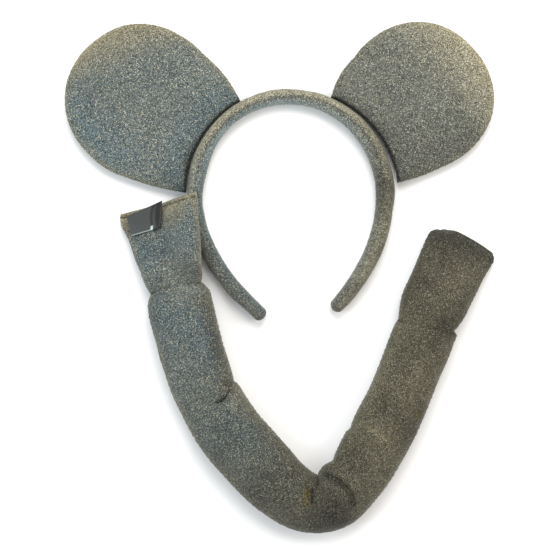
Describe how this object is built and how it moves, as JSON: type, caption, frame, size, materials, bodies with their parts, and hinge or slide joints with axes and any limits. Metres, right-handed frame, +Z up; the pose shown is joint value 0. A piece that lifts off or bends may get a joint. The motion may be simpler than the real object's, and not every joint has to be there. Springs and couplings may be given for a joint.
{
  "type": "animal ears headband with tail",
  "caption": "Padded headband with round upright ears and a matching stuffed tail, in sparkly grey velour.",
  "frame": {"origin": "centre of the bounding box on the surface that the set lies on", "axes": "+Y from the band's tips towards the ears, +X to the right of a viewer above, +Z up out of the surface"},
  "size_m": [0.3165, 0.3753, 0.0344],
  "materials": {
    "grey_velour": "short-pile velour with gold and silver glitter",
    "black_satin": "satin ribbon",
    "foam": "open-cell foam",
    "filling": "polyester filling",
    "plastic_strip": "moulded"
  },
  "bodies": {
    "left_leg": {"left_leg_cover": "grey_velour", "left_leg_foam": "foam", "left_leg_strip": "plastic_strip"},
    "crown": {"crown_cover": "grey_velour", "crown_foam": "foam", "crown_strip": "plastic_strip"},
    "right_leg": {"right_leg_cover": "grey_velour", "right_leg_foam": "foam", "right_leg_strip": "plastic_strip"},
    "left_ear": {"left_ear_front_panel": "grey_velour", "left_ear_back_panel": "grey_velour", "left_ear_front_wadding": "filling", "left_ear_back_wadding": "filling", "left_ear_stiffener": "foam"},
    "right_ear": {"right_ear_front_panel": "grey_velour", "right_ear_back_panel": "grey_velour", "right_ear_front_wadding": "filling", "right_ear_back_wadding": "filling", "right_ear_stiffener": "foam"},
    "tail_1": {"tail_1_cover": "grey_velour", "tail_1_filling": "filling"},
    "tail_2": {"tail_2_cover": "grey_velour", "tail_2_filling": "filling"},
    "tail_3": {"tail_3_cover": "grey_velour", "tail_3_filling": "filling"},
    "tail_4": {"tail_4_cover": "grey_velour", "tail_4_filling": "filling"},
    "tail_5": {"tail_5_cover": "grey_velour", "tail_5_filling": "filling"},
    "loop": {"satin_loop": "black_satin"}
  },
  "joints": [
    {"name": "left_leg_flex", "type": "hinge", "parent": "left_leg", "child": "crown", "pos_m": [-0.06253, 0.05812, 0.008], "axis": [0, 0, 1], "range_deg": [-3, 13], "stiffness_Nm_per_rad": 1.2},
    {"name": "right_leg_flex", "type": "hinge", "parent": "crown", "child": "right_leg", "pos_m": [0.07713, 0.05812, 0.008], "axis": [0, 0, 1], "range_deg": [-3, 13], "stiffness_Nm_per_rad": 1.2},
    {"name": "left_ear_fold", "type": "hinge", "parent": "crown", "child": "left_ear", "pos_m": [-0.05849, 0.10175, 0.008], "axis": [0.5075, 0.8616, 0], "range_deg": [-35, 35], "stiffness_Nm_per_rad": 0.3},
    {"name": "right_ear_fold", "type": "hinge", "parent": "crown", "child": "right_ear", "pos_m": [0.06926, 0.10761, 0.008], "axis": [0.5842, -0.8116, 0], "range_deg": [-35, 35], "stiffness_Nm_per_rad": 0.3},
    {"name": "tail_lift", "type": "slide", "parent": "left_leg", "child": "tail_1", "axis": [0, 0, 1], "range_m": [0, 0.1]},
    {"name": "tail_bend_1", "type": "hinge", "parent": "tail_1", "child": "tail_2", "pos_m": [-0.077, -0.0075, 0.015], "axis": [0, 0, 1], "range_deg": [-20, 8]},
    {"name": "tail_bend_2", "type": "hinge", "parent": "tail_2", "child": "tail_3", "pos_m": [-0.054, -0.087, 0.015], "axis": [0, 0, 1], "range_deg": [-20, 8]},
    {"name": "tail_bend_3", "type": "hinge", "parent": "tail_3", "child": "tail_4", "pos_m": [0.03, -0.1655, 0.015], "axis": [0, 0, 1], "range_deg": [-20, 7]},
    {"name": "tail_bend_4", "type": "hinge", "parent": "tail_4", "child": "tail_5", "pos_m": [0.107, -0.035, 0.015], "axis": [0, 0, 1], "range_deg": [-20, 8]},
    {"name": "loop_flip", "type": "hinge", "parent": "tail_1", "child": "loop", "pos_m": [-0.11174, 0.04089, 0.0065], "axis": [0.2118, -0.9773, 0], "range_deg": [0, 60]}
  ]
}
